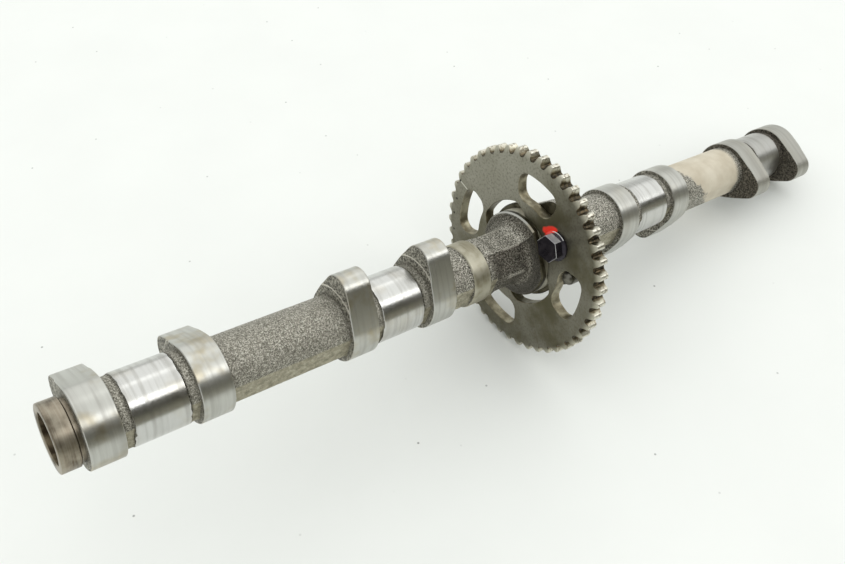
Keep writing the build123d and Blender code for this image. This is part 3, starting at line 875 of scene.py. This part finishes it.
def notched(loop, centre, radius):
    """An opening's anticlockwise outline, let out round the given circle."""
    inside = np.hypot(*(loop - centre).T) < radius
    first = next(i for i in range(len(loop)) if inside[i] and not inside[i - 1])
    loop = np.roll(loop, -first, 0)
    count = int(np.argmin(inside[(np.arange(len(loop)) + first) % len(loop)]))

    def crossing(a, b):
        """Where the line from a, outside the circle, to b, inside, meets the circle."""
        low, high = 0.0, 1.0
        for _ in range(30):
            t = (low + high) / 2
            if np.hypot(*(a + (b - a) * t - centre)) < radius:
                high = t
            else:
                low = t
        return a + (b - a) * low

    enter = crossing(loop[-1], loop[0])
    leave = crossing(loop[count], loop[count - 1])
    start = math.degrees(math.atan2(*(enter - centre)[::-1]))
    end = math.degrees(math.atan2(*(leave - centre)[::-1]))
    round_part = arc(centre, radius, start, start + (end - start) % 360, 18)
    return np.array(round_part + list(loop[count:]))


def centre_loop():
    """Centre hole with its two wider stretches."""
    angles = np.arange(0, 360, 2.0)
    r = np.full(len(angles), REGISTER_R + 0.05)
    for bolt in (BOLT_ANGLE, BOLT_ANGLE + 180):
        away = np.abs(wrapped(angles - bolt - RELIEF_ANGLE))
        share = np.clip((RELIEF_HALF_ANGLE + RELIEF_END_ANGLE - away) / RELIEF_END_ANGLE, 0, 1)
        # the ends rise half smoothly, half straight
        share = share * share * (3 - 2 * share) * 0.55 + share * 0.45
        r = np.maximum(r, REGISTER_R + 0.05 + (RELIEF_R - REGISTER_R) * share)
    turn = np.radians(angles)
    return np.stack([r * np.cos(turn), r * np.sin(turn)], 1)


def offset(loop, distance):
    """The outline moved sideways, to its left, by distance."""
    before = loop - np.roll(loop, 1, 0)
    after = np.roll(loop, -1, 0) - loop
    before /= np.maximum(np.hypot(*before.T), 1e-9)[:, None]
    after /= np.maximum(np.hypot(*after.T), 1e-9)[:, None]
    left = np.stack([-(before + after)[:, 1], (before + after)[:, 0]], 1)
    left /= np.maximum(np.hypot(*left.T), 1e-9)[:, None]
    lean = np.clip(left[:, 0] * -after[:, 1] + left[:, 1] * after[:, 0], 0.6, 1)
    return loop + left * (distance / lean)[:, None]


def sprocket_mesh(materials):
    """Front face, tooth wall, hole walls, web back, step and rim back, in one closed mesh."""
    plain, toothed, hole = 0, 1, 2      # the places of its materials
    holes = [centre_loop()]
    for bolt in (BOLT_ANGLE, BOLT_ANGLE + 180):
        holes.append(circle(polar(BOLT_CIRCLE_R, bolt), BOLT_HOLE_R, 32))
        for side in (-WINDOW_ANGLE, WINDOW_ANGLE):
            has_notch = bolt == BOLT_ANGLE and side < 0
            holes.append(window_loop(bolt + side, NOTCH_AT if has_notch else None))
    verts, faces, zones = [], [], []

    def place(loop, x):
        """Adds an outline's points at a depth, and gives their numbers."""
        start = len(verts)
        depth = np.broadcast_to(x, (len(loop),))
        verts.extend((d, p[0], p[1]) for d, p in zip(depth, loop))
        return range(start, start + len(loop))

    def wall(a, b, zone, flip):
        """Joins two outlines with a band of faces."""
        for i in range(len(a)):
            j = (i + 1) % len(a)
            quad = (a[i], a[j], b[j], b[i])
            faces.append(quad[::-1] if flip else quad)
            zones.append(zone)

    def cap(rings, flip):
        """Fills the first outline with a flat face, open where the others are."""
        index = [i for ring in rings for i in ring]
        loops = [[Vector((verts[i][1], verts[i][2], 0)) for i in ring] for ring in rings]
        for triangle in geometry.tessellate_polygon(loops):
            a, b, c = (Vector(verts[index[i]]) for i in triangle)
            faces_front = (b - a).cross(c - a).x > 0
            corners = [index[i] for i in triangle]
            faces.append(corners if faces_front != flip else corners[::-1])
            zones.append(plain)

    # every outline runs anticlockwise seen from the front, so left is inwards
    teeth = tooth_loop()
    inner = offset(teeth, TOOTH_BEVEL)
    slope = TOOTH_SLOPE * np.clip((np.hypot(*teeth.T) - ROOT_R) / (TIP_R - ROOT_R), 0, 1)
    tooth_front = place(inner, -slope)
    tooth_edge = place(teeth, -slope - TOOTH_BEVEL)
    tooth_back_edge = place(teeth, -TOOTH_RING_T + slope + TOOTH_BEVEL)
    tooth_back = place(inner, -TOOTH_RING_T + slope)
    wall(tooth_front, tooth_edge, toothed, True)
    wall(tooth_edge, tooth_back_edge, toothed, True)
    wall(tooth_back_edge, tooth_back, toothed, True)
    root_circle = circle((0, 0), ROOT_R - 0.5, 4 * TEETH)
    root_front, root_back = place(root_circle, 0), place(root_circle, -TOOTH_RING_T)
    step = circle((0, 0), TOOTH_RING_IN_R, 180)
    step_web, step_rim = place(step, -WEB_T), place(step, -TOOTH_RING_T)
    fronts, backs = [root_front], [step_web]
    for loop in holes:
        wider = offset(loop, -HOLE_BEVEL)
        front = place(wider, 0)
        edge = place(loop, -HOLE_BEVEL)
        back_edge = place(loop, -WEB_T + HOLE_BEVEL)
        back = place(wider, -WEB_T)
        wall(front, edge, hole, False)
        wall(edge, back_edge, hole, False)
        wall(back_edge, back, hole, False)
        fronts.append(front)
        backs.append(back)
    cap([tooth_front, root_front], False)
    cap(fronts, False)
    cap(backs, True)
    wall(step_web, step_rim, plain, False)
    cap([tooth_back, root_back], True)
    cap([root_back, step_rim], True)
    return lay_piece("cam_sprocket_plate", verts, faces, zones, materials)


# ---- dowel ----
DOWEL_R = NOTCH_R - 0.06
DOWEL_PROUD = 1.5           # of the sprocket's front face
DOWEL_DOME = 2.9
DOWEL_SUNK = 0.5            # into the flange's ear
DOWEL_AROUND = 48


def dowel_mesh(materials):
    """Pin with a domed end, standing on the flange in the notch of the window."""
    rings = [(-WEB_T - DOWEL_SUNK, DOWEL_R)]
    for turn in np.radians(np.linspace(0, 85, 12)):
        x = DOWEL_PROUD - DOWEL_DOME * (1 - math.sin(turn))
        rings.append((x, DOWEL_R * math.cos(turn)))
    angles = np.arange(DOWEL_AROUND) * 360 / DOWEL_AROUND
    verts, faces = skinned(rings, angles, NOTCH_AT)
    return lay_piece("locating_dowel", verts, faces, [0] * len(faces), materials)


# ---- bolts ----
BOLT_AROUND = 96
HEAD_FLANGE_R = 6.3
HEAD_FLANGE_T = 1.2
HEAD_HALF_W = 5.0           # half the width across its flats
HEAD_H = 5.2
HEAD_ANGLE = 19.5
HEAD_BEVEL = 0.15
THREAD_R = 3.5
THREAD_PITCH = 1.0
THREAD_DEPTH = 0.3
BOLT_TIP = -WEB_T - FLANGE_T - 1.5
BOLT_TIP_R = 2.7


def bolt_mesh(number, angle, materials):
    """Flange bolt: threaded shank, round flange, hexagon head with bevelled corners."""
    black, wear_and_highlight = 0, 1                # the places of its materials
    angles = HEAD_ANGLE + np.arange(BOLT_AROUND) * 360 / BOLT_AROUND
    # its corners are cut by 0.1 mm
    hexagon = np.minimum(hexagon_radius(angles, HEAD_HALF_W, HEAD_ANGLE),
                         HEAD_HALF_W / math.cos(math.radians(30)) - 0.1)
    rings = [(BOLT_TIP, 0.01), (BOLT_TIP, BOLT_TIP_R)]
    # the thread, which tapers over its first millimetre
    for x in np.arange(BOLT_TIP + 0.2, -WEB_T - FLANGE_T + 1.0, THREAD_PITCH / 8):
        phase = (x / THREAD_PITCH - angles / 360) % 1
        groove = np.clip(3.2 * np.abs(phase - 0.5) - 0.3, 0, 1)
        taper = 0.6 * max(0, 1 - (x - BOLT_TIP))
        rings.append((x, THREAD_R - THREAD_DEPTH * groove - taper))
    # plain shank, flange, hexagon and its top
    rings += [(-WEB_T - FLANGE_T + 1.2, THREAD_R), (0.0, THREAD_R),
              (0.0, HEAD_FLANGE_R - HEAD_BEVEL), (HEAD_BEVEL, HEAD_FLANGE_R),
              (HEAD_FLANGE_T - 0.35, HEAD_FLANGE_R),
              (HEAD_FLANGE_T - 0.1, HEAD_FLANGE_R - 0.2),
              (HEAD_FLANGE_T + 0.3, np.minimum(hexagon + 0.3, HEAD_FLANGE_R - 0.35)),
              (HEAD_FLANGE_T + 0.55, hexagon), (HEAD_H - HEAD_BEVEL, hexagon),
              (HEAD_H, hexagon - HEAD_BEVEL), (HEAD_H, 2.0), (HEAD_H, 0.01)]
    sides, top_edge = len(rings) - 4, len(rings) - 3
    flange_edge = sides - 3
    verts, faces = skinned(rings, angles, polar(BOLT_CIRCLE_R, angle))
    # the spanner has rubbed the top's edge, one side of the hexagon and the flange below it
    zones = []
    for k in range(1, len(rings)):
        worn = {top_edge: BOLT_AROUND, sides: BOLT_AROUND // 6,
                flange_edge: BOLT_AROUND // 6}.get(k, 0)
        zones += [wear_and_highlight] * worn + [black] * (BOLT_AROUND - worn)
    return lay_piece(f"flange_bolt_{number}", verts, faces, zones + [0, 0], materials)


# ------------------------------------------------------------------ the pieces
# the journals are near mirrors, the cams satin, the collar dull olive, the boss oil-brown,
# the bore tan and the flange dark
casting_piece = casting_mesh([
    cast_iron_skin(),
    ground_iron("ground_journal_iron", "#C8C8C5", rough=0.18, tan=0.25),
    ground_iron("ground_cam_iron", "#BDBDB7", rough=0.28, tan=0.75),
    turned_iron("turned_cast_iron", "#BDB9A8", "#938D78", rough=0.42),
    turned_iron("oil_stained_turned_iron", "#9A9080", "#5C5244", rough=0.32),
    oily_iron("oiled_bored_iron", "#A3957C", "#5C5040", rough=0.42),
    oily_iron("oily_faced_iron", "#5E5A4A", "#3D392C", rough=0.45)])
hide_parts("camshaft")

sprocket_piece = sprocket_mesh([
    sprocket_steel(), worn_teeth(),
    oily_iron("blanked_steel_edge", "#A09A84", "#6B6450", rough=0.42)])
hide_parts("cam_sprocket")

dowel_piece = dowel_mesh([
    oily_iron("drawn_dowel_steel", "#75736A", "#3B3930", rough=0.3)])

# the black is rubbed to a greyish white on some edges
bolt_steels = [
    black_oxide_steel(),
    oily_iron("rubbed_bolt_steel", "#BDBDBB", "#96959A", rough=0.34, bare=0.35)]
for bolt_number, bolt_at in ((1, BOLT_ANGLE), (2, BOLT_ANGLE + 180)):
    bolt_piece = bolt_mesh(bolt_number, bolt_at, bolt_steels)
    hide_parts(f"sprocket_bolt_{bolt_number}")

# ------------------------------------------------------------------ bench, light and camera
# in metres and watts
BENCH_HALF = 6.0
CARD_X = (-1.3, 0.32)
CARD_Y = 0.36
CARD_TOP = (0.33, 0.44)     # its height at either end
WALLS = 0.9                 # how bright the room is


def flat_sheet(name, corners, material):
    """A flat stand-in for what is round the shaft, which is no part of it."""
    mesh = bpy.data.meshes.new(name)
    mesh.from_pydata(corners, [], [(0, 1, 2, 3)])
    mesh.materials.append(material)
    sheet = bring_in(name, mesh)
    return sheet


def lamp(name, watts, wide, high, azimuth, elevation, distance, along=0.0):
    """Soft oblong lamp that looks at the shaft from the given direction, moved along it."""
    light = bpy.data.lights.new(name, "AREA")
    light.shape = "RECTANGLE"
    light.energy, light.size, light.size_y = watts, wide, high
    a, e = math.radians(azimuth), math.radians(elevation)
    way = Vector((math.cos(e) * math.cos(a), math.cos(e) * math.sin(a), math.sin(e)))
    holder = bring_in(name, light)
    holder.location = way * distance + Vector((along, 0, 0))
    holder.rotation_euler = way.to_track_quat("Z", "Y").to_euler()
    return holder


flat_sheet("bench", [(-BENCH_HALF, -BENCH_HALF, 0), (BENCH_HALF, -BENCH_HALF, 0),
                     (BENCH_HALF, BENCH_HALF, 0), (-BENCH_HALF, BENCH_HALF, 0)],
           painted_board())

# the first three show only as bright stripes on metal; the sky panel lights what is dull,
# without hard shadows
lamp("window_light", watts=10, wide=2.4, high=2.4, azimuth=182, elevation=52,
     distance=2.2).visible_diffuse = False
lamp("strip_light", watts=17, wide=3.2, high=0.9, azimuth=90, elevation=51, distance=2.2,
     along=-1.35).visible_diffuse = False
lamp("back_light", watts=9, wide=2.4, high=2.4, azimuth=-110, elevation=40,
     distance=2.4).visible_diffuse = False
lamp("sky_panel", watts=272, wide=12.0, high=12.0, azimuth=182, elevation=88,
     distance=3.0).visible_glossy = False

world = bpy.data.worlds.new("pale_walls")
world.use_nodes = True
world.node_tree.nodes.clear()
walls = add(world.node_tree, "Background", {"Color": "#EDEFEC", "Strength": WALLS})
add(world.node_tree, "OutputWorld", {"Surface": walls})
bpy.context.scene.world = world

# between the bench and the room, and seen only as the dark stripe on metal
card = flat_sheet("dark_card", [(CARD_X[0], CARD_Y, 0), (CARD_X[1], CARD_Y, 0),
                                (CARD_X[1], CARD_Y, CARD_TOP[1]),
                                (CARD_X[0], CARD_Y, CARD_TOP[0])], dark_reflection_card())
card.visible_camera = card.visible_diffuse = card.visible_shadow = False

# the camera's place and attitude, in the shaft's own coordinates
camera_data = bpy.data.cameras.new("camera")
camera_data.sensor_width = 36.0
camera_data.lens = 35.685
camera = bring_in("camera", camera_data)
right = Vector((-0.7862088, 0.56280703, -0.25519397))
up = Vector((-0.30873164, 0.0, 0.95114919))
back = -Vector((-0.53531345, -0.82658832, -0.17375634))
stand = Matrix((right, up, back)).transposed().to_4x4()
stand.translation = Vector((224.219, 269.865, 59.605)) * MM
camera.matrix_world = SHAFT @ stand
bpy.context.scene.camera = camera
bpy.context.scene.view_settings.view_transform = "Standard"

bpy.context.view_layer.update()
